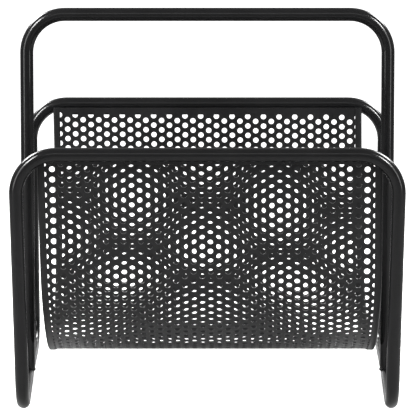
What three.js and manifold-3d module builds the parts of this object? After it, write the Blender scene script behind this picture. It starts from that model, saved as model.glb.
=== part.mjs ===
// Magazine rack: three bent steel tube hoops on two floor runners, and a sling of perforated
// sheet that hangs between the front and the back hoop. Everything is welded and nothing moves.
// Units are millimetres. X is the width, Y the depth (the front faces -Y) and Z is up.
// The origin lies on the floor, under the middle of the rack.

import * as THREE from 'three';
import { mergeVertices } from 'three/addons/utils/BufferGeometryUtils.js';
import Module from 'manifold-3d';

const wasm = await Module();
wasm.setup();

// Clearance between pieces that touch on the real rack.
const GAP = 0.3;

// Tube, and the centre-line radii of its bends.
const TUBE_RADIUS = 6.35;
const TUBE_WALL = 1.2;
const RAIL_BEND = 37;
const FOOT_BEND = 30;
const TUBE_SIDES = 16;
const BORE_SIDES = 12;
const BEND_STEPS = 6;

// Heights of the tube centre lines above the floor.
const PAD_LIFT = 0.9;
const RUNNER_HEIGHT = PAD_LIFT + TUBE_RADIUS;
const RAIL_HEIGHT = 251.2;
const HANDLE_HEIGHT = 360.6;

// Half widths of the hoops on their centre lines. The runners open towards the back, and the
// handle stands a little inside their middles.
const FRONT_TOP = 174.3;
const FRONT_FOOT = 172.1;
const BACK_TOP = 180.5;
const BACK_FOOT = 179;
const RUNNER_MIDDLE = 176.7;
const HANDLE_TOP = 172.4;
const HANDLE_FOOT = 175.5;
const HANDLE_SEAT = 3;

// Half depths: the hoops lean outwards, from the feet up to the rails.
const RAIL_DEPTH = 143.2;
const FOOT_DEPTH = 125.5;

// Sheet sling: straight panels that lean outwards, joined by one smooth curve underneath.
const SHEET_THICKNESS = 1;
const SHEET_HALF_WIDTH = 156;
const SHEET_TO_RAIL = 8.1;
const SHEET_TOP = RAIL_HEIGHT - 3.2;
const PANEL_SLOPE = Math.tan(THREE.MathUtils.degToRad(2.4));
const CURVE_START = 147.8;
const CURVE_BOTTOM = 34.6;
const CURVE_PULL_DOWN = 0.509;
const CURVE_PULL_OUT = 0.41;
const CURVE_STEPS = 18;

// The sheet hangs slightly askew. Its top edges lie this far to the right of the middle on
// average, and it drifts sideways by these amounts for each millimetre backwards and downwards.
const SHEET_OFFSET = 1;
const DRIFT_BACKWARDS = -0.0075;
const DRIFT_DOWNWARDS = 0.013;

// Edge trims are folded channels over the sheet's side edges; the top strips are flat bars.
const TRIM_METAL = 0.6;
const TRIM_COVER = 5.7;
const STRIP_THICKNESS = 1;
const STRIP_HEIGHT = 7;
const STRIP_HALF = 144;

// Joint sleeves inside the runners, weld beads and floor pads.
const SLEEVE_LENGTH = 40;
const SLEEVE_WALL = 1;
const BEAD_REACH = 1.6;
const BEAD_RISE = 1.5;
const BEAD_LIP = 1;
const TACK_COUNT = 5;
const TACK_SPACING = 72;
const TACK_RADII = [3.4, 2.2, 2.8];
const TACK_RINGS = 8;
const TACK_SIDES = 12;
const TACK_INSET = 4.2;
const TACK_DROP = 6.4;
const PAD_LENGTH = 24;
const PAD_WIDTH = 8;
const PAD_HEIGHT = 2.4;
const PAD_DEPTH = 84;
const PAD_END_STEPS = 8;

// Surplus length of a cutting solid, so that it clears the surface it cuts.
const OVERRUN = 1;
const MERGE_DISTANCE = 1e-4;

const blackSteel = () => new THREE.MeshStandardMaterial({
  color: 0x1b1b1d, roughness: 0.42, metalness: 0.35,
});
const padRubber = () => new THREE.MeshStandardMaterial({
  color: 0x8d8f90, roughness: 0.7, metalness: 0,
});

const rack = new THREE.Group();

function addPiece(name, geometry, material) {
  const mesh = new THREE.Mesh(geometry, material);
  mesh.name = name;
  rack.add(mesh);
  return mesh;
}

// ---------------------------------------------------------------- solids

function toSolid(geometry) {
  const bare = geometry.clone();
  bare.deleteAttribute('normal');
  bare.deleteAttribute('uv');
  const merged = mergeVertices(bare, MERGE_DISTANCE);
  return new wasm.Manifold(new wasm.Mesh({
    numProp: 3,
    vertProperties: Float32Array.from(merged.attributes.position.array),
    triVerts: Uint32Array.from(merged.index.array),
  }));
}

function toGeometry(solid) {
  const mesh = solid.getMesh();
  const geometry = new THREE.BufferGeometry();
  geometry.setAttribute('position', new THREE.BufferAttribute(mesh.vertProperties, 3));
  geometry.setIndex(new THREE.BufferAttribute(mesh.triVerts, 1));
  geometry.computeVertexNormals();
  return geometry;
}

// ---------------------------------------------------------------- tubes

// A path of straight runs and round bends, sampled only where the tube needs a ring.
class TubePath extends THREE.Curve {
  constructor(stations) {
    super();
    this.stations = stations;
  }

  at(t) {
    return this.stations[Math.round(t * (this.stations.length - 1))];
  }

  getUtoTmapping(u) {
    return u;
  }

  getPoint(t, target = new THREE.Vector3()) {
    return target.copy(this.at(t).point);
  }

  getTangent(t, target = new THREE.Vector3()) {
    return target.copy(this.at(t).tangent);
  }
}

// Corners are [x, y, z, bend radius]; the first and the last one are the tube's ends.
function bentPath(corners) {
  const points = corners.map(([x, y, z]) => new THREE.Vector3(x, y, z));
  const last = points.length - 1;
  const along = (from, to) => to.clone().sub(from).normalize();
  const stations = [{ point: points[0], tangent: along(points[0], points[1]) }];
  for (let i = 1; i < last; i += 1) {
    const radius = corners[i][3];
    const incoming = along(points[i - 1], points[i]);
    const outgoing = along(points[i], points[i + 1]);
    const turn = incoming.angleTo(outgoing);
    const reach = radius * Math.tan(turn / 2);
    const start = points[i].clone().addScaledVector(incoming, -reach);
    const inward = outgoing.clone().addScaledVector(incoming, -incoming.dot(outgoing)).normalize();
    for (let step = 0; step <= BEND_STEPS; step += 1) {
      const angle = (turn * step) / BEND_STEPS;
      const point = start.clone()
        .addScaledVector(incoming, radius * Math.sin(angle))
        .addScaledVector(inward, radius * (1 - Math.cos(angle)));
      const tangent = incoming.clone().multiplyScalar(Math.cos(angle))
        .addScaledVector(inward, Math.sin(angle));
      stations.push({ point, tangent });
    }
  }
  stations.push({ point: points[last], tangent: along(points[last - 1], points[last]) });
  return new TubePath(stations);
}

function circlePoints(radius, sides) {
  const points = [];
  for (let i = 0; i < sides; i += 1) {
    const angle = (2 * Math.PI * i) / sides;
    points.push(new THREE.Vector2(radius * Math.cos(angle), radius * Math.sin(angle)));
  }
  return points;
}

function tubeGeometry(path, radius, bore = 0) {
  const section = new THREE.Shape(circlePoints(radius, TUBE_SIDES));
  if (bore > 0) {
    section.holes.push(new THREE.Path(circlePoints(bore, BORE_SIDES)));
  }
  return new THREE.ExtrudeGeometry(section, {
    steps: path.stations.length - 1, extrudePath: path, bevelEnabled: false,
  });
}

// One hoop with its two half runners. Side -1 is the front hoop and +1 the back hoop.
function hoopPath(side, footHalf, topHalf) {
  const half = (sign) => [
    [sign * RUNNER_MIDDLE, side * GAP / 2, RUNNER_HEIGHT, 0],
    [sign * footHalf, side * FOOT_DEPTH, RUNNER_HEIGHT, FOOT_BEND],
    [sign * topHalf, side * RAIL_DEPTH, RAIL_HEIGHT, RAIL_BEND],
  ];
  return bentPath([...half(-1), ...half(1).reverse()]);
}

function handlePath() {
  const half = (sign) => [
    [sign * HANDLE_FOOT, 0, RUNNER_HEIGHT + HANDLE_SEAT, 0],
    [sign * HANDLE_TOP, 0, HANDLE_HEIGHT, RAIL_BEND],
  ];
  return bentPath([...half(-1), ...half(1).reverse()]);
}

// A short straight stretch of the runner's centre line, across its joint.
function runnerMiddle(sign, halfLength) {
  const slope = (BACK_FOOT - FRONT_FOOT) / (2 * FOOT_DEPTH);
  const end = (y) => [sign * (RUNNER_MIDDLE + slope * y), y, RUNNER_HEIGHT, 0];
  return bentPath([end(-halfLength), end(halfLength)]);
}

const tubeBore = TUBE_RADIUS - TUBE_WALL;
const frontPath = hoopPath(-1, FRONT_FOOT, FRONT_TOP);
const backPath = hoopPath(1, BACK_FOOT, BACK_TOP);
const cutterRadius = TUBE_RADIUS + GAP;
const hoopCutters = {
  front: toSolid(tubeGeometry(frontPath, cutterRadius)),
  back: toSolid(tubeGeometry(backPath, cutterRadius)),
};
const jointCutters = [-1, 1].map((sign) => (
  toSolid(tubeGeometry(runnerMiddle(sign, 3 * TUBE_RADIUS), cutterRadius))
));

addPiece('front_hoop', tubeGeometry(frontPath, TUBE_RADIUS, tubeBore), blackSteel());
addPiece('back_hoop', tubeGeometry(backPath, TUBE_RADIUS, tubeBore), blackSteel());

// The handle's feet are coped to sit on the runners.
const handleBlank = toSolid(tubeGeometry(handlePath(), TUBE_RADIUS, tubeBore));
const handleSolid = jointCutters.reduce((solid, cutter) => solid.subtract(cutter), handleBlank);
addPiece('handle_hoop', toGeometry(handleSolid), blackSteel());

// ---------------------------------------------------------------- runner joints

function jointSleeve(sign) {
  const outer = tubeBore * Math.cos(Math.PI / BORE_SIDES) - GAP;
  return tubeGeometry(runnerMiddle(sign, SLEEVE_LENGTH / 2), outer, outer - SLEEVE_WALL);
}

// A collar round the handle's foot that hugs the runner on both sides.
function footBead(sign) {
  const inner = TUBE_RADIUS + GAP;
  const outer = inner + BEAD_REACH;
  const top = TUBE_RADIUS + BEAD_RISE;
  const shoulder = BEAD_REACH / 4;
  const profile = [
    new THREE.Vector2(inner, BEAD_LIP),
    new THREE.Vector2(outer, BEAD_LIP),
    new THREE.Vector2(outer - shoulder, top - BEAD_RISE),
    new THREE.Vector2(inner + shoulder, top + BEAD_LIP / 2),
    new THREE.Vector2(inner, top + BEAD_LIP),
    new THREE.Vector2(inner, BEAD_LIP),
  ];
  const collar = new THREE.LatheGeometry(profile, 2 * TUBE_SIDES);
  collar.rotateX(Math.PI / 2);
  collar.translate(sign * HANDLE_FOOT, 0, RUNNER_HEIGHT);
  const runner = tubeGeometry(runnerMiddle(sign, 2 * TUBE_RADIUS), TUBE_RADIUS + BEAD_RISE);
  const side = sign < 0 ? 0 : 1;
  return toGeometry(toSolid(collar).intersect(toSolid(runner)).subtract(jointCutters[side]));
}

for (const [side, sign] of [['left', -1], ['right', 1]]) {
  addPiece(`joint_sleeve_${side}`, jointSleeve(sign), blackSteel());
  addPiece(`handle_foot_weld_${side}`, footBead(sign), blackSteel());
}

// ---------------------------------------------------------------- sheet sling

// The sling's centre line in the YZ plane, from the front panel's top to the back panel's,
// as points with their outward normals.
function slingLine() {
  const lineAt = (z) => -(RAIL_DEPTH - SHEET_TO_RAIL) + (RAIL_HEIGHT - z) * PANEL_SLOPE;
  const depth = CURVE_START - CURVE_BOTTOM;
  const startY = lineAt(CURVE_START);
  const reach = depth * CURVE_PULL_DOWN;
  const curve = new THREE.CubicBezierCurve(
    new THREE.Vector2(startY, CURVE_START),
    new THREE.Vector2(startY + reach * PANEL_SLOPE, CURVE_START - reach),
    new THREE.Vector2(startY * CURVE_PULL_OUT, CURVE_BOTTOM),
    new THREE.Vector2(0, CURVE_BOTTOM),
  );
  const downPanel = new THREE.Vector2(PANEL_SLOPE, -1).normalize();
  const front = [SHEET_TOP, SHEET_TOP - STRIP_HEIGHT].map((z) => (
    { y: lineAt(z), z, tangent: downPanel }
  ));
  for (let step = 0; step <= CURVE_STEPS; step += 1) {
    const t = step / CURVE_STEPS;
    const point = curve.getPoint(t);
    front.push({ y: point.x, z: point.y, tangent: curve.getTangent(t) });
  }
  const half = front.map(({ y, z, tangent }) => ({ y, z, ny: tangent.y, nz: -tangent.x }));
  const mirrored = half.slice(0, -1).reverse().map((p) => ({ ...p, y: -p.y, ny: -p.ny }));
  return [...half, ...mirrored];
}

// A band that follows the given stretch of the sling, between two offsets from its centre
// line (outwards is positive) and between two places across the width.
function slingBand(line, offsets, [xFrom, xTo]) {
  const [inner, outer] = offsets.map((offset) => (
    line.map((p) => new THREE.Vector2(p.y + offset * p.ny, p.z + offset * p.nz))
  ));
  const outline = new THREE.Shape([...outer, ...inner.reverse()]);
  const band = new THREE.ExtrudeGeometry(outline, { depth: xTo - xFrom, bevelEnabled: false });
  // The outline's own axes become Y and Z, and the extrusion runs along X.
  const axes = new THREE.Matrix4().makeBasis(
    new THREE.Vector3(0, 1, 0), new THREE.Vector3(0, 0, 1), new THREE.Vector3(1, 0, 0),
  );
  band.applyMatrix4(axes);
  band.translate(xFrom + SHEET_OFFSET + DRIFT_DOWNWARDS * SHEET_TOP, 0, 0);
  return band.applyMatrix4(
    new THREE.Matrix4().makeShear(0, 0, DRIFT_BACKWARDS, 0, -DRIFT_DOWNWARDS, 0),
  );
}

const sling = slingLine();
const sheetSkin = SHEET_THICKNESS / 2;
addPiece(
  'sling_sheet',
  slingBand(sling, [-sheetSkin, sheetSkin], [-SHEET_HALF_WIDTH, SHEET_HALF_WIDTH]),
  blackSteel(),
);

function edgeTrim(sign) {
  const slot = sheetSkin + GAP;
  const skin = slot + TRIM_METAL;
  const inside = SHEET_HALF_WIDTH - TRIM_COVER;
  const slotEnd = SHEET_HALF_WIDTH + GAP;
  const across = (from, to) => (sign > 0 ? [from, to] : [-to, -from]);
  const channel = toSolid(slingBand(sling, [-skin, skin], across(inside, slotEnd + TRIM_METAL)));
  const opening = slingBand(sling, [-slot, slot], across(inside - OVERRUN, slotEnd));
  // The opening also runs out through both top ends of the channel.
  const stretch = (p, end) => (
    { ...p, z: p.z + OVERRUN, y: p.y + end * OVERRUN * PANEL_SLOPE }
  );
  const ends = [
    [stretch(sling[0], -1), sling[1]],
    [sling.at(-2), stretch(sling.at(-1), 1)],
  ].map((line) => slingBand(line, [-slot, slot], across(inside - OVERRUN, slotEnd)));
  return toGeometry([opening, ...ends].reduce((left, cut) => left.subtract(toSolid(cut)), channel));
}
addPiece('edge_trim_left', edgeTrim(-1), blackSteel());
addPiece('edge_trim_right', edgeTrim(1), blackSteel());

const stripOffsets = [sheetSkin + GAP, sheetSkin + GAP + STRIP_THICKNESS];
const strips = {
  front: slingBand(sling.slice(0, 2), stripOffsets, [-STRIP_HALF, STRIP_HALF]),
  back: slingBand(sling.slice(-2), stripOffsets, [-STRIP_HALF, STRIP_HALF]),
};
addPiece('top_strip_front', strips.front, blackSteel());
addPiece('top_strip_back', strips.back, blackSteel());

// ---------------------------------------------------------------- tack welds

// How far the rail's centre line lies below its own height at a place across the width.
function railDrop(x, topHalf) {
  const intoBend = Math.max(0, Math.abs(x) - (topHalf - RAIL_BEND));
  return RAIL_BEND - Math.sqrt(RAIL_BEND ** 2 - intoBend ** 2);
}

// Five beads on each rail fill the crevice between the tube and the top strip.
const stripClear = [-sheetSkin - GAP, stripOffsets[1] + GAP];

function tackWeld(side, x) {
  const [sign, end, topHalf] = side === 'front'
    ? [-1, sling.slice(0, 2), FRONT_TOP]
    : [1, sling.slice(-2), BACK_TOP];
  const bead = new THREE.SphereGeometry(1, TACK_SIDES, TACK_RINGS);
  bead.scale(...TACK_RADII);
  const height = RAIL_HEIGHT - TACK_DROP - railDrop(x, topHalf);
  bead.translate(x, sign * (RAIL_DEPTH - TACK_INSET), height);
  const stripCutter = toSolid(slingBand(end, stripClear, [-STRIP_HALF, STRIP_HALF]));
  return toGeometry(toSolid(bead).subtract(hoopCutters[side]).subtract(stripCutter));
}

for (const side of ['front', 'back']) {
  for (let i = 0; i < TACK_COUNT; i += 1) {
    const x = (i - (TACK_COUNT - 1) / 2) * TACK_SPACING;
    addPiece(`tack_weld_${side}_${i + 1}`, tackWeld(side, x), blackSteel());
  }
}

// ---------------------------------------------------------------- floor pads

// A flat-bottomed pad with round ends, hollowed on top to carry the runner.
function footPad(sign, depthName) {
  const [y, footHalf] = depthName === 'front' ? [-PAD_DEPTH, FRONT_FOOT] : [PAD_DEPTH, BACK_FOOT];
  const x = THREE.MathUtils.lerp(RUNNER_MIDDLE, footHalf, PAD_DEPTH / FOOT_DEPTH);
  const straight = (PAD_LENGTH - PAD_WIDTH) / 2;
  const outline = new THREE.Shape();
  outline.absarc(0, straight, PAD_WIDTH / 2, 0, Math.PI, false);
  outline.absarc(0, -straight, PAD_WIDTH / 2, Math.PI, 2 * Math.PI, false);
  const block = new THREE.ExtrudeGeometry(outline, {
    depth: PAD_HEIGHT, bevelEnabled: false, curveSegments: PAD_END_STEPS,
  });
  block.translate(sign * x, y, 0);
  return toGeometry(toSolid(block).subtract(hoopCutters[depthName]));
}

for (const depthName of ['front', 'back']) {
  for (const [side, sign] of [['left', -1], ['right', 1]]) {
    addPiece(`foot_pad_${depthName}_${side}`, footPad(sign, depthName), padRubber());
  }
}

export default rack;
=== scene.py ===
"""Magazine rack of bent black tube with a sling of perforated sheet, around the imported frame.

Lengths below are in millimetres, as in the CAD model, and become metres through MM.
X is the width, Y the depth (the front faces -Y) and Z is up.
"""

import math

import bmesh
import bpy
import numpy as np
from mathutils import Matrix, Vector

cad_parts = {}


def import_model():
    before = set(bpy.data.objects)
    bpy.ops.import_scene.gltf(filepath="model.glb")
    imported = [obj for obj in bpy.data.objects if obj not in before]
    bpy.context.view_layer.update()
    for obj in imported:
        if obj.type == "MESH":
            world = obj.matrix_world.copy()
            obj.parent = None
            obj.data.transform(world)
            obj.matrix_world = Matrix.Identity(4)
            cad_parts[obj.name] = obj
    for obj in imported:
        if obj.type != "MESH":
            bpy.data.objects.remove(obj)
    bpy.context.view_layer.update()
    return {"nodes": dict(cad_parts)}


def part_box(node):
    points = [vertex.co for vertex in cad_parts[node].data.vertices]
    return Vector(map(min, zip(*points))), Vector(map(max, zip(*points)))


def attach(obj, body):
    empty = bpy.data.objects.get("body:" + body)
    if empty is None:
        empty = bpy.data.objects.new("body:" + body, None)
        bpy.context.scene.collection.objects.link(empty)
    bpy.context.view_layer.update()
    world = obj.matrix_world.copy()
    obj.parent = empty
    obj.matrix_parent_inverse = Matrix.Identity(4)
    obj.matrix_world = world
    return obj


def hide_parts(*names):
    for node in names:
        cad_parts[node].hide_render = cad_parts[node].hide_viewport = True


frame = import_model()

MM = 0.001
BODY = "root"

# ---------------------------------------------------------------- driving dimensions


def span(node, axis):
    """Lowest and highest place of a CAD node along X, Y or Z, in millimetres."""
    low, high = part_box(node)
    return low[axis] / MM, high[axis] / MM


Y, Z = 1, 2
TUBE_RADIUS = (span("handle_hoop", Y)[1] - span("handle_hoop", Y)[0]) / 2
RUNNER_Z = span("front_hoop", Z)[0] + TUBE_RADIUS
RAIL_Z = span("front_hoop", Z)[1] - TUBE_RADIUS
HANDLE_Z = span("handle_hoop", Z)[1] - TUBE_RADIUS
RAIL_Y = span("back_hoop", Y)[1] - TUBE_RADIUS
FOOT_Y = 125.5
RAIL_BEND = 37.0
FOOT_BEND = 30.0
FRONT_TOP_X = 174.3
FRONT_FOOT_X = 172.1
BACK_TOP_X = 180.5
BACK_FOOT_X = 179.0
RUNNER_MIDDLE_X = 176.7
HANDLE_TOP_X = 172.4
HANDLE_FOOT_X = 175.5
HANDLE_SEAT = 3.0
JOINT_GAP = 0.3

SHEET_HALF = 156.0
SHEET_TOP = span("sling_sheet", Z)[1]
SHEET_THICK = 1.0
SHEET_OFFSET = 1.0
DRIFT_BACKWARDS = -0.0075
DRIFT_DOWNWARDS = 0.013
PANEL_SLOPE = math.tan(math.radians(2.4))
PANEL_TOP_Y = -span("sling_sheet", Y)[0] - SHEET_THICK / 2
CURVE_START = 147.8
CURVE_BOTTOM = span("sling_sheet", Z)[0] + SHEET_THICK / 2
CURVE_PULL_DOWN = 0.509
CURVE_PULL_OUT = 0.41
TRIM_COVER = 5.7
TRIM_METAL = 0.6
STRIP_HALF = 144.0

# ---------------------------------------------------------------- mesh helpers


def new_piece(name, points, faces, material, replaced=(), sharp_degrees=40):
    """A mesh object from points in millimetres, riding on the rack's body."""
    mesh = bpy.data.meshes.new(name)
    mesh.from_pydata([tuple(p) for p in np.asarray(points) * MM], [], faces)
    mesh.validate()
    shape = bmesh.new()
    shape.from_mesh(mesh)
    bmesh.ops.recalc_face_normals(shape, faces=shape.faces)
    shape.to_mesh(mesh)
    shape.free()
    mesh.shade_smooth()
    mesh.set_sharp_from_angle(angle=math.radians(sharp_degrees))
    mesh.materials.append(material)
    piece = bpy.data.objects.new(name, mesh)
    bpy.context.scene.collection.objects.link(piece)
    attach(piece, BODY)
    if replaced:
        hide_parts(*replaced)
    return piece


def skin_rings(rings, closed_along=False):
    """Points and faces of a surface through rings of equal length, with its ends capped."""
    count = len(rings[0])
    points = np.concatenate(rings)
    faces = []
    pairs = len(rings) if closed_along else len(rings) - 1
    for i in range(pairs):
        here, there = i * count, ((i + 1) % len(rings)) * count
        for j in range(count):
            k = (j + 1) % count
            faces.append((here + j, here + k, there + k, there + j))
    if not closed_along:
        last = (len(rings) - 1) * count
        faces.append(tuple(reversed(range(count))))
        faces.append(tuple(range(last, last + count)))
    return points, faces


def unit(vector):
    return vector / np.linalg.norm(vector)


# ---------------------------------------------------------------- materials


def principled(name, colour, roughness, metallic=0.0):
    material = bpy.data.materials.new(name)
    material.use_nodes = True
    shader = material.node_tree.nodes["Principled BSDF"]
    shader.inputs["Base Color"].default_value = (*colour, 1)
    shader.inputs["Roughness"].default_value = roughness
    shader.inputs["Metallic"].default_value = metallic
    return material, shader


def noise(tree, scale, detail, vector, roughness=0.5):
    node = tree.nodes.new("ShaderNodeTexNoise")
    node.inputs["Scale"].default_value = scale
    node.inputs["Detail"].default_value = detail
    node.inputs["Roughness"].default_value = roughness
    tree.links.new(vector, node.inputs["Vector"])
    return node.outputs["Fac"]


def spread(tree, value, low, high, start=0.3, stop=0.7):
    """A value between start and stop, spread from low to high."""
    node = tree.nodes.new("ShaderNodeMapRange")
    node.inputs["From Min"].default_value = start
    node.inputs["From Max"].default_value = stop
    node.inputs["To Min"].default_value = low
    node.inputs["To Max"].default_value = high
    tree.links.new(value, node.inputs["Value"])
    return node.outputs["Result"]


def blend_colours(tree, factor, dark, light):
    node = tree.nodes.new("ShaderNodeMix")
    node.data_type = "RGBA"
    node.inputs["A"].default_value = (*dark, 1)
    node.inputs["B"].default_value = (*light, 1)
    tree.links.new(factor, node.inputs["Factor"])
    return node.outputs["Result"]


def bump(tree, shader, height, strength, distance):
    node = tree.nodes.new("ShaderNodeBump")
    node.inputs["Strength"].default_value = strength
    node.inputs["Distance"].default_value = distance
    tree.links.new(height, node.inputs["Height"])
    tree.links.new(node.outputs["Normal"], shader.inputs["Normal"])


PEEL_SCALE = 900
CLOUD_SCALE = 28


def powder_coat(name, dark, light, rough_low, rough_high, grain=0.00004):
    """Black powder coat: a fine orange peel, with slow changes of colour and gloss."""
    material, shader = principled(name, dark, rough_low)
    shader.inputs["Specular IOR Level"].default_value = 0.22
    tree = material.node_tree
    place = tree.nodes.new("ShaderNodeTexCoord").outputs["Object"]
    peel = noise(tree, PEEL_SCALE, 2.0, place)
    cloud = noise(tree, CLOUD_SCALE, 3.0, place)
    tree.links.new(blend_colours(tree, cloud, dark, light), shader.inputs["Base Color"])
    tree.links.new(spread(tree, cloud, rough_low, rough_high), shader.inputs["Roughness"])
    bump(tree, shader, peel, 0.35, grain)
    return material


def grey(level):
    """A very slightly cool grey."""
    return level, level, level * 1.04


TUBE_COAT = powder_coat("tube_powder_coat", grey(0.003), grey(0.0055), 0.15, 0.20)
SHEET_COAT = powder_coat("sheet_powder_coat", grey(0.005), grey(0.0085), 0.30, 0.38)
# Painted highlight: the walls of the holes and of the sheet's edges get a much lighter grey than
# its faces, standing in for the light those thin walls catch.
HOLE_WALL_HIGHLIGHT_COAT = powder_coat("hole_wall_painted_highlight_coat", grey(0.02), grey(0.04), 0.30, 0.40)
WELD_COAT = powder_coat("weld_powder_coat", grey(0.001), grey(0.004), 0.30, 0.50, 0.0003)


def bare_steel():
    """Bare drawn steel with fine lines along its length."""
    material, shader = principled("sleeve_bare_steel", (0.45, 0.45, 0.47), 0.35, metallic=1.0)
    tree = material.node_tree
    place = tree.nodes.new("ShaderNodeTexCoord").outputs["Object"]
    stretch = tree.nodes.new("ShaderNodeMapping")
    stretch.inputs["Scale"].default_value = (1, 0.04, 1)
    tree.links.new(place, stretch.inputs["Vector"])
    lines = noise(tree, 1500, 3.0, stretch.outputs["Vector"])
    tree.links.new(spread(tree, lines, 0.28, 0.5), shader.inputs["Roughness"])
    bump(tree, shader, lines, 0.3, 0.00004)
    return material


def pad_rubber():
    """Matt grey rubber with a fine grain and a little dust."""
    material, shader = principled("floor_pad_rubber", (0.30, 0.30, 0.31), 0.75)
    tree = material.node_tree
    place = tree.nodes.new("ShaderNodeTexCoord").outputs["Object"]
    dust = noise(tree, 160, 4.0, place)
    grain = noise(tree, 2200, 2.0, place)
    colour = blend_colours(tree, dust, (0.24, 0.24, 0.25), (0.38, 0.38, 0.38))
    tree.links.new(colour, shader.inputs["Base Color"])
    tree.links.new(spread(tree, dust, 0.65, 0.85), shader.inputs["Roughness"])
    bump(tree, shader, grain, 0.4, 0.00008)
    return material


def repaint(node, material):
    mesh = frame["nodes"][node].data
    mesh.materials.clear()
    mesh.materials.append(material)


# ---------------------------------------------------------------- tubes

TUBE_SIDES = 48
BEND_STEPS = 20
STRAIGHT_STEP = 20.0


def bent_line(corners):
    """Points and tangents along straight runs and round bends.

    Corners are (x, y, z, bend radius); the first and the last one are the ends.
    """
    places = [np.array(c[:3], float) for c in corners]
    points, tangents = [places[0]], [unit(places[1] - places[0])]

    def run_to(end, direction):
        length = np.linalg.norm(end - points[-1])
        steps = max(1, round(length / STRAIGHT_STEP))
        start = points[-1]
        for i in range(1, steps + 1):
            points.append(start + (end - start) * i / steps)
            tangents.append(direction)

    for before, here, after, corner in zip(places, places[1:], places[2:], corners[1:]):
        inward, outward = unit(here - before), unit(after - here)
        turn = math.acos(float(np.clip(inward @ outward, -1, 1)))
        radius = corner[3]
        reach = radius * math.tan(turn / 2)
        side = unit(outward - inward * (inward @ outward))
        start = here - inward * reach
        run_to(start, inward)
        for i in range(1, BEND_STEPS + 1):
            angle = turn * i / BEND_STEPS
            offset = inward * math.sin(angle) + side * (1 - math.cos(angle))
            points.append(start + offset * radius)
            tangents.append(inward * math.cos(angle) + side * math.sin(angle))
    run_to(places[-1], unit(places[-1] - places[-2]))
    return points, tangents


def tube_rings(points, tangents, radius, sides):
    """Rings across a line, carried along it without twist."""
    turn = np.linspace(0, 2 * math.pi, sides, endpoint=False)
    start = np.array([1.0, 0, 0]) if abs(tangents[0][0]) < 0.9 else np.array([0, 1.0, 0])
    normal = unit(start - tangents[0] * (start @ tangents[0]))
    rings = []
    for point, tangent in zip(points, tangents):
        normal = unit(normal - tangent * (normal @ tangent))
        other = np.cross(tangent, normal)
        ring = np.outer(np.cos(turn), normal) + np.outer(np.sin(turn), other)
        rings.append(point + radius * ring)
    return rings


def mirrored_corners(half):
    """Corners of a hoop from those of its left half."""
    return half + [(-x, y, z, r) for x, y, z, r in reversed(half)]


def hoop(name, side, foot_x, top_x):
    """A hoop with its half runners. Side -1 is the front hoop and +1 the back hoop."""
    half = [
        (-RUNNER_MIDDLE_X, side * JOINT_GAP / 2, RUNNER_Z, 0),
        (-foot_x, side * FOOT_Y, RUNNER_Z, FOOT_BEND),
        (-top_x, side * RAIL_Y, RAIL_Z, RAIL_BEND),
    ]
    line = bent_line(mirrored_corners(half))
    points, faces = skin_rings(tube_rings(*line, TUBE_RADIUS, TUBE_SIDES))
    return new_piece(name + "_tube", points, faces, TUBE_COAT, [name])


def runner_top(x, y):
    """Height of the runners' upper surface under the handle's feet, and beside it their seat."""
    slope = (BACK_FOOT_X - FRONT_FOOT_X) / (2 * FOOT_Y)
    across = abs(x) - (RUNNER_MIDDLE_X + slope * y)
    return RUNNER_Z + math.sqrt(max(HANDLE_SEAT**2, TUBE_RADIUS**2 - across**2))


def handle():
    """The handle hoop, with its feet shaped to sit on the runners."""
    half = [
        (-HANDLE_FOOT_X, 0, RUNNER_Z, 0),
        (-HANDLE_TOP_X, 0, HANDLE_Z, RAIL_BEND),
    ]
    rings = tube_rings(*bent_line(mirrored_corners(half)), TUBE_RADIUS, TUBE_SIDES)
    for ring in (rings[0], rings[-1]):
        for point in ring:
            point[2] = runner_top(point[0], point[1])
    points, faces = skin_rings(rings)
    return new_piece("handle_hoop_tube", points, faces, TUBE_COAT, ["handle_hoop"])


# ---------------------------------------------------------------- welds

# The handle's beads: how far inside the tube's surface they run, their radius, the height and
# number of their ripples and of their slower swells, and how lumpy they are.
BEAD_INSET = 0.35
BEAD_RADIUS = 0.8
RIPPLE_HEIGHT = 0.12
RIPPLES = 17
SWELL_HEIGHT = 0.08
SWELLS = 5
BEAD_LUMPS = 0.05

# The tack welds: how far they spread past their CAD box on each side, how lumpy they are, and
# the share of the turn that is left open round each pole before it is capped.
TACK_SPREAD = 0.3
TACK_LUMPS = 0.07
POLE_SHARE = 0.04
TACKS_PER_RAIL = 5


def lumpy(points, centres, amount, seed):
    """Points pushed in and out from their centres by a smooth wobble."""
    phase = np.random.default_rng(seed).uniform(0, 2 * math.pi, 6)
    wobble = (
        np.sin(points[:, 0] * 1.9 + phase[0]) * np.sin(points[:, 1] * 2.3 + phase[1])
        + np.sin(points[:, 2] * 2.1 + phase[2]) * np.sin(points[:, 0] * 3.1 + phase[3])
    )
    return points + (points - centres) * (amount * wobble)[:, None]


def handle_weld(side, sign, seed):
    """A bead that runs round the handle's foot, along its seam with the runner."""
    steps, sides = 72, 14
    turn = np.linspace(0, 2 * math.pi, steps, endpoint=False)
    reach = TUBE_RADIUS - BEAD_INSET
    across = sign * HANDLE_FOOT_X + reach * np.cos(turn)
    along = reach * np.sin(turn)
    height = [runner_top(x, y) for x, y in zip(across, along)]
    line = np.stack([across, along, height], axis=1)
    rings = []
    for i, point in enumerate(line):
        tangent = unit(line[(i + 1) % steps] - line[i - 1])
        outward = unit(np.array([math.cos(turn[i]), math.sin(turn[i]), 0.0]))
        outward = unit(outward - tangent * (outward @ tangent))
        other = np.cross(tangent, outward)
        ripple = RIPPLE_HEIGHT * math.cos(turn[i] * RIPPLES + seed)
        swell = SWELL_HEIGHT * math.sin(turn[i] * SWELLS)
        radius = BEAD_RADIUS + ripple + swell
        around = np.linspace(0, 2 * math.pi, sides, endpoint=False)
        ring = np.outer(np.cos(around), outward) + np.outer(np.sin(around), other)
        rings.append(lumpy(point + radius * ring, point, BEAD_LUMPS, seed))
    points, faces = skin_rings(rings, closed_along=True)
    name = "handle_foot_weld_" + side
    return new_piece(name + "_bead", points, faces, WELD_COAT, [name], 80)


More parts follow.
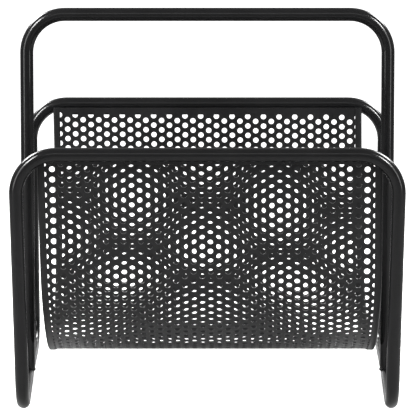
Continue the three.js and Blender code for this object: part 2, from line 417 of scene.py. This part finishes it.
def tack_weld(side, index):
    """A small blob of weld in the crevice between a rail and the sheet's top strip."""
    node = f"tack_weld_{side}_{index}"
    low, high = (np.array(corner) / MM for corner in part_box(node))
    centre, half = (low + high) / 2, (high - low) / 2 + TACK_SPREAD
    rows, sides = 12, 20
    rings = []
    for i in range(rows + 1):
        tilt = math.pi * (POLE_SHARE + (1 - 2 * POLE_SHARE) * i / rows)
        around = np.linspace(0, 2 * math.pi, sides, endpoint=False)
        ring = np.stack([
            np.full(sides, math.cos(tilt)),
            math.sin(tilt) * np.cos(around),
            math.sin(tilt) * np.sin(around),
        ], axis=1)
        rings.append(lumpy(centre + ring * half, centre, TACK_LUMPS, index))
    points, faces = skin_rings(rings)
    return new_piece(node + "_bead", points, faces, WELD_COAT, [node], 80)


# ---------------------------------------------------------------- sling

PANEL_SAMPLES = 60
CURVE_SAMPLES = 400


class Sling:
    """The sling's centre line in the YZ plane, measured by the distance along the sheet."""

    def __init__(self):
        start_y = -PANEL_TOP_Y + (SHEET_TOP - CURVE_START) * PANEL_SLOPE
        depth = CURVE_START - CURVE_BOTTOM
        pull = depth * CURVE_PULL_DOWN
        a = np.array([start_y, CURVE_START])
        b = np.array([start_y + pull * PANEL_SLOPE, CURVE_START - pull])
        c = np.array([start_y * CURVE_PULL_OUT, CURVE_BOTTOM])
        d = np.array([0.0, CURVE_BOTTOM])
        t = np.linspace(0, 1, CURVE_SAMPLES)[:, None]
        curve = a * (1 - t) ** 3 + 3 * b * t * (1 - t) ** 2 + 3 * c * t**2 * (1 - t) + d * t**3
        top = np.array([-PANEL_TOP_Y, SHEET_TOP])
        down = np.linspace(0, 1, PANEL_SAMPLES, endpoint=False)[:, None]
        panel = top + (a - top) * down
        half = np.concatenate([panel, curve])
        line = np.concatenate([half, half[-2::-1] * [-1, 1]])
        steps = np.linalg.norm(np.diff(line, axis=0), axis=1)
        self.line = line
        self.along = np.concatenate([[0], np.cumsum(steps)])
        self.length = self.along[-1]
        slope = np.gradient(line, self.along, axis=0)
        self.slope = slope / np.linalg.norm(slope, axis=1)[:, None]

    def place(self, x, distance, offset=0.0):
        """The point at x across and distance along, offset outwards from the centre line."""
        y, z = (np.interp(distance, self.along, self.line[:, i]) for i in (0, 1))
        dy, dz = (np.interp(distance, self.along, self.slope[:, i]) for i in (0, 1))
        return np.array([x, y + offset * dz, z - offset * dy])

    def middle(self, distance):
        """The x of the sheet's middle: it hangs a little askew, as in the CAD model."""
        y, z = (np.interp(distance, self.along, self.line[:, i]) for i in (0, 1))
        return SHEET_OFFSET + DRIFT_BACKWARDS * y + DRIFT_DOWNWARDS * (SHEET_TOP - z)


sling = Sling()

# Perforation: round holes in staggered columns, which run slightly out of square with the
# sheet. MIDDLE_COLUMN, COLUMN_STEP and ROW_SLANT are polynomials in the place along the sheet
# from 0 to 1, and ROW_PLACE is one in the row's number as a share of the last row's.
HOLE_RADIUS = 2.8
HOLE_SIDES = 16
HOLE_TO_EDGE = 3.7
LAST_COLUMN = 19
LAST_ROW = 57
END_MARGIN = 0.3
MIDDLE_COLUMN = [2.046, 7.940, -9.058]
COLUMN_STEP = [7.9688, 0.0158]
ROW_SLANT = [0.00113, -0.00957, -0.00101]
ROW_PLACE = [11.873, 551.445, -6.833, 1.989, 2.072]


def polynomial(terms, place):
    return sum(term * place**power for power, term in enumerate(terms))


def lattice(column, row):
    """Where a place in the perforation lies: x across, and the distance along the sheet."""
    distance = polynomial(ROW_PLACE, row / LAST_ROW)
    along = distance / sling.length
    x = polynomial(MIDDLE_COLUMN, along) + column * polynomial(COLUMN_STEP, along)
    return x, distance + polynomial(ROW_SLANT, along) * x


def side_edge(sign, distance):
    return sling.middle(distance) + sign * SHEET_HALF


class SheetBuilder:
    """Collects the flat layout of the sheet once, and lifts it to both of its surfaces."""

    def __init__(self):
        self.spots, self.index, self.faces = [], {}, []

    def spot(self, key, x, distance):
        if key not in self.index:
            self.index[key] = len(self.spots)
            self.spots.append((x, distance))
        return self.index[key]

    def grid(self, column2, row2):
        """A corner of the cells, numbered in half columns and half rows."""
        x, distance = lattice(column2 / 2, row2 / 2)
        return self.spot(("grid", column2, row2), self.to_edge(column2, x, distance), distance)

    @staticmethod
    def to_edge(column2, x, distance):
        """The outermost corners lie on the sheet's side edges."""
        if abs(column2) == 2 * LAST_COLUMN + 1:
            return side_edge(math.copysign(1, column2), distance)
        return x

    def hole_cell(self, column, row2):
        """A cell with a round hole: six corners outside, and a ring of short sides inside."""
        c2 = column * 2
        outer = [
            self.grid(c2 + 1, row2), self.grid(c2 + 1, row2 + 1), self.grid(c2 - 1, row2 + 1),
            self.grid(c2 - 1, row2), self.grid(c2 - 1, row2 - 1), self.grid(c2 + 1, row2 - 1),
        ]
        x, distance = lattice(column, row2 / 2)
        left, right = (side_edge(sign, distance) for sign in (-1, 1))
        x = min(max(x, left + HOLE_TO_EDGE), right - HOLE_TO_EDGE)
        angles = np.arange(HOLE_SIDES) * 2 * math.pi / HOLE_SIDES
        ring = [
            self.spot(("hole", column, row2, i), x + HOLE_RADIUS * math.cos(angle),
                      distance + HOLE_RADIUS * math.sin(angle))
            for i, angle in enumerate(angles)
        ]
        outer_angles = [
            math.atan2(self.spots[i][1] - distance, self.spots[i][0] - x) % (2 * math.pi)
            for i in outer
        ]
        outer_angles[0] = 0.0
        self.stitch(ring, list(angles), outer, outer_angles)

    def stitch(self, ring, ring_angles, outer, outer_angles):
        """Triangles between two closed loops that both start at angle 0."""
        full = 2 * math.pi
        i = j = 0
        while i < len(ring) or j < len(outer):
            next_i = (ring_angles + [full])[i + 1] if i < len(ring) else math.inf
            next_j = (outer_angles + [full])[j + 1] if j < len(outer) else math.inf
            a, b = ring[i % len(ring)], outer[j % len(outer)]
            if next_i <= next_j:
                i += 1
                self.faces.append((a, b, ring[i % len(ring)]))
            else:
                j += 1
                self.faces.append((a, b, outer[j % len(outer)]))

    def end_filler(self, column, row2, outward, edge_distance, edge_key):
        """The solid stretch between a column's last cell and the sheet's end edge."""
        c2 = column * 2
        limit = -3 if outward < 0 else 2 * LAST_ROW + 3
        near_rows = range(row2, limit, outward)
        left = [self.grid(c2 - 1, r) for r in near_rows if self.inside(c2 - 1, r)]
        right = [self.grid(c2 + 1, r) for r in near_rows if self.inside(c2 + 1, r)]
        corners = []
        for side in (c2 - 1, c2 + 1):
            x = self.to_edge(side, lattice(side / 2, row2 / 2)[0], edge_distance)
            corners.append(self.spot((edge_key, side), x, edge_distance))
        polygon = left + corners + right[::-1]
        self.faces.append(tuple(polygon if outward > 0 else polygon[::-1]))

    @staticmethod
    def inside(column2, row2):
        distance = lattice(column2 / 2, row2 / 2)[1]
        return END_MARGIN < distance < sling.length - END_MARGIN

    def build(self):
        for column in range(-LAST_COLUMN, LAST_COLUMN + 1):
            odd = column % 2
            first, last = (-1, 2 * LAST_ROW + 1) if odd else (0, 2 * LAST_ROW)
            for row2 in range(first, last + 1, 2):
                self.hole_cell(column, row2)
            self.end_filler(column, first - 1, -1, 0.0, "start")
            self.end_filler(column, last + 1, 1, sling.length, "stop")


def oriented(face, spots):
    """The face with its corners counter-clockwise in the sheet's flat layout."""
    corners = [spots[i] for i in face]
    area = sum(
        ax * by - bx * ay
        for (ax, ay), (bx, by) in zip(corners, corners[1:] + corners[:1])
    )
    return face if area > 0 else face[::-1]


def perforated_sheet():
    """The sheet with both surfaces, and a wall along each edge that one flat face alone uses."""
    builder = SheetBuilder()
    builder.build()
    spots = builder.spots
    count = len(spots)
    flat = [oriented(tuple(f), spots) for f in builder.faces]
    half = SHEET_THICK / 2
    points = [sling.place(x, s, half) for x, s in spots]
    points += [sling.place(x, s, -half) for x, s in spots]
    used = {}
    for face in flat:
        for a, b in zip(face, face[1:] + face[:1]):
            used[(a, b)] = used.get((a, b), 0) + 1
    rim = [(a, b) for (a, b), times in used.items() if times == 1 and (b, a) not in used]
    faces = list(flat)
    faces += [tuple(i + count for i in reversed(face)) for face in flat]
    walls = len(faces)
    faces += [(b, a, a + count, b + count) for a, b in rim]
    sheet = new_piece(
        "sling_perforated_sheet", points, faces, SHEET_COAT, ["sling_sheet"],
    )
    # The edge walls take the lighter coat, a painted highlight that makes the hole rims show as
    # light rings.
    sheet.data.materials.append(HOLE_WALL_HIGHLIGHT_COAT)
    for face in sheet.data.polygons[walls:]:
        face.material_index = 1


def swept_band(name, section, distances, material, replaced):
    """A closed section of (x, offset) points carried along the sling."""
    rings = [
        np.array([
            sling.place(sling.middle(distance) + x, distance, offset) for x, offset in section
        ])
        for distance in distances
    ]
    points, faces = skin_rings(rings)
    return new_piece(name, points, faces, material, replaced)


def arc(cx, cy, radius, start, stop, steps):
    angles = np.radians(np.linspace(start, stop, steps))
    return [(cx + radius * math.cos(t), cy + radius * math.sin(t)) for t in angles]


PANEL_STRETCH = 95
CURVE_STRETCH = 99
PANEL_RINGS = 12
CURVE_RINGS = 130


def edge_trim(side, sign):
    """A folded channel over the sheet's side edge, with a round fold and rounded lips.

    Its rings stand close together, except along the panels.
    """
    node = "edge_trim_" + side
    slot_half = SHEET_THICK / 2 + JOINT_GAP
    skin = slot_half + TRIM_METAL
    inside = SHEET_HALF - TRIM_COVER
    fold = SHEET_HALF + JOINT_GAP + TRIM_METAL - skin
    lip = TRIM_METAL / 2
    section = arc(fold, 0, skin, -90, 90, 13)
    section += arc(inside + lip, skin - lip, lip, 90, 270, 6)
    section += arc(fold, 0, slot_half, 90, -90, 9)
    section += arc(inside + lip, lip - skin, lip, 90, 270, 6)
    section = [(sign * x, offset) for x, offset in section]
    distances = np.concatenate([
        np.linspace(0, PANEL_STRETCH, PANEL_RINGS),
        np.linspace(CURVE_STRETCH, sling.length - CURVE_STRETCH, CURVE_RINGS),
        np.linspace(sling.length - PANEL_STRETCH, sling.length, PANEL_RINGS),
    ])
    return swept_band(node + "_channel", section, distances, SHEET_COAT, [node])


STRIP_CLEARANCE = 0.05
STRIP_THICK = 1.25
STRIP_EDGE = 0.35
STRIP_RINGS = 13


def top_strip(side):
    """A flat bar with rounded edges, between the sheet's top edge and its rail."""
    node = "top_strip_" + side
    low, high = span(node, Z)
    height = high - low
    inner = SHEET_THICK / 2 + STRIP_CLEARANCE
    outer = inner + STRIP_THICK
    edge = STRIP_EDGE
    section = []
    for corner_s, corner_o, start in (
        (height - edge, outer - edge, 0), (edge, outer - edge, 90),
        (edge, inner + edge, 180), (height - edge, inner + edge, 270),
    ):
        section += arc(corner_s, corner_o, edge, start, start + 90, 4)
    rings = []
    for x in np.linspace(-STRIP_HALF, STRIP_HALF, STRIP_RINGS):
        ring = []
        for s, offset in section:
            distance = s if side == "front" else sling.length - s
            ring.append(sling.place(sling.middle(distance) + x, distance, offset))
        rings.append(np.array(ring))
    points, faces = skin_rings(rings)
    return new_piece(node + "_bar", points, faces, SHEET_COAT, [node])


# ---------------------------------------------------------------- make the rack

hoop("front_hoop", -1, FRONT_FOOT_X, FRONT_TOP_X)
hoop("back_hoop", 1, BACK_FOOT_X, BACK_TOP_X)
handle()
perforated_sheet()
for side, sign in (("left", -1), ("right", 1)):
    handle_weld(side, sign, seed=3 + sign)
    edge_trim(side, sign)
for side in ("front", "back"):
    top_strip(side)
    for index in range(1, TACKS_PER_RAIL + 1):
        tack_weld(side, index)

STEEL = bare_steel()
RUBBER = pad_rubber()
for side in ("left", "right"):
    repaint("joint_sleeve_" + side, STEEL)
    for depth in ("front", "back"):
        repaint(f"foot_pad_{depth}_{side}", RUBBER)

# ---------------------------------------------------------------- studio

CAMERA_HEIGHT = 648.1
CAMERA_DISTANCE = 2276.5
CAMERA_PITCH = 11.81
CAMERA_X = 0.57
FOCAL_PIXELS = 2400.0
IMAGE_PIXELS = 416
SENSOR = 36.0


def camera():
    data = bpy.data.cameras.new("camera")
    data.sensor_width = SENSOR
    data.lens = FOCAL_PIXELS / IMAGE_PIXELS * SENSOR
    data.clip_end = 50
    view = bpy.data.objects.new("camera", data)
    view.location = Vector((CAMERA_X, -CAMERA_DISTANCE, CAMERA_HEIGHT)) * MM
    view.rotation_euler = (math.radians(90 - CAMERA_PITCH), 0, 0)
    bpy.context.scene.collection.objects.link(view)
    bpy.context.scene.camera = view


def camera_only(tree, elsewhere, seen):
    """One value where the camera sees a surface directly, and another for all other rays."""
    camera_ray = tree.nodes.new("ShaderNodeLightPath").outputs["Is Camera Ray"]
    return spread(tree, camera_ray, elsewhere, seen, 0, 1)


def floor():
    """A pale floor that is white to the camera and a plain dim grey in reflections."""
    size = 12.0
    mesh = bpy.data.meshes.new("floor")
    corners = [(-size, -size, 0), (size, -size, 0), (size, size, 0), (-size, size, 0)]
    mesh.from_pydata(corners, [], [(0, 1, 2, 3)])
    material, shader = principled("pale_floor", (0.8, 0.8, 0.8), 0.7)
    shader.inputs["Specular IOR Level"].default_value = 0.2
    shader.inputs["Emission Color"].default_value = (1, 1, 1, 1)
    tree = material.node_tree
    tree.links.new(camera_only(tree, 0.4, 0.8), shader.inputs["Base Color"])
    tree.links.new(camera_only(tree, 0.0, 0.9), shader.inputs["Emission Strength"])
    mesh.materials.append(material)
    ground = bpy.data.objects.new("floor", mesh)
    bpy.context.scene.collection.objects.link(ground)


# Watts per square metre of a softbox's face, for each unit of radiance.
POWER_PER_RADIANCE = 4


def area_light(name, place, target, size, radiance, beam_degrees=180):
    """A softbox, with places and size in metres. A beam narrower than 180 degrees keeps the
    same power, so it is brighter along its middle.
    """
    data = bpy.data.lights.new(name, "AREA")
    data.shape = "RECTANGLE"
    data.size, data.size_y = size
    data.energy = radiance * size[0] * size[1] * POWER_PER_RADIANCE
    data.spread = math.radians(beam_degrees)
    light = bpy.data.objects.new(name, data)
    light.visible_camera = False
    light.location = place
    direction = Vector(target) - Vector(place)
    light.rotation_euler = direction.to_track_quat("-Z", "Y").to_euler()
    bpy.context.scene.collection.objects.link(light)


def world():
    """White behind the rack, and a dimmer surround for what it reflects."""
    surround = bpy.data.worlds.new("studio")
    bpy.context.scene.world = surround
    surround.use_nodes = True
    tree = surround.node_tree
    background = tree.nodes["Background"]
    background.inputs["Color"].default_value = (1, 1, 1, 1)
    tree.links.new(camera_only(tree, 0.4, 1.0), background.inputs["Strength"])


camera()
floor()
world()
area_light("left_softbox", (-0.95, -0.72, 0.42), (0, 0, 0.2), (0.26, 0.8), 8.0)
area_light("right_softbox", (0.95, -0.75, 0.42), (0, 0, 0.2), (0.24, 0.8), 7.0)
area_light("front_softbox", (0, -2.2, 1.35), (0, 0, 0.2), (1.6, 0.3), 2.3)
area_light("left_back_softbox", (-1.2, 2.8, 0.75), (0, 0, 0.3), (0.9, 0.8), 2.2)
area_light("right_back_softbox", (1.2, 2.8, 0.75), (0, 0, 0.3), (0.9, 0.8), 2.2)
area_light("left_high_softbox", (-1.15, -0.9, 1.1), (-0.17, 0, 0.3), (0.2, 0.6), 10.0, 60)
area_light("right_high_softbox", (1.15, -0.9, 1.1), (0.17, 0, 0.3), (0.2, 0.6), 10.0, 60)
area_light("left_rim_softbox", (-1.35, 1.15, 1.4), (-0.17, 0, 0.3), (1.0, 0.6), 2.8, 50)
area_light("right_rim_softbox", (1.35, 1.15, 1.4), (0.17, 0, 0.3), (1.0, 0.6), 2.8, 50)
bpy.context.scene.view_settings.view_transform = "Standard"
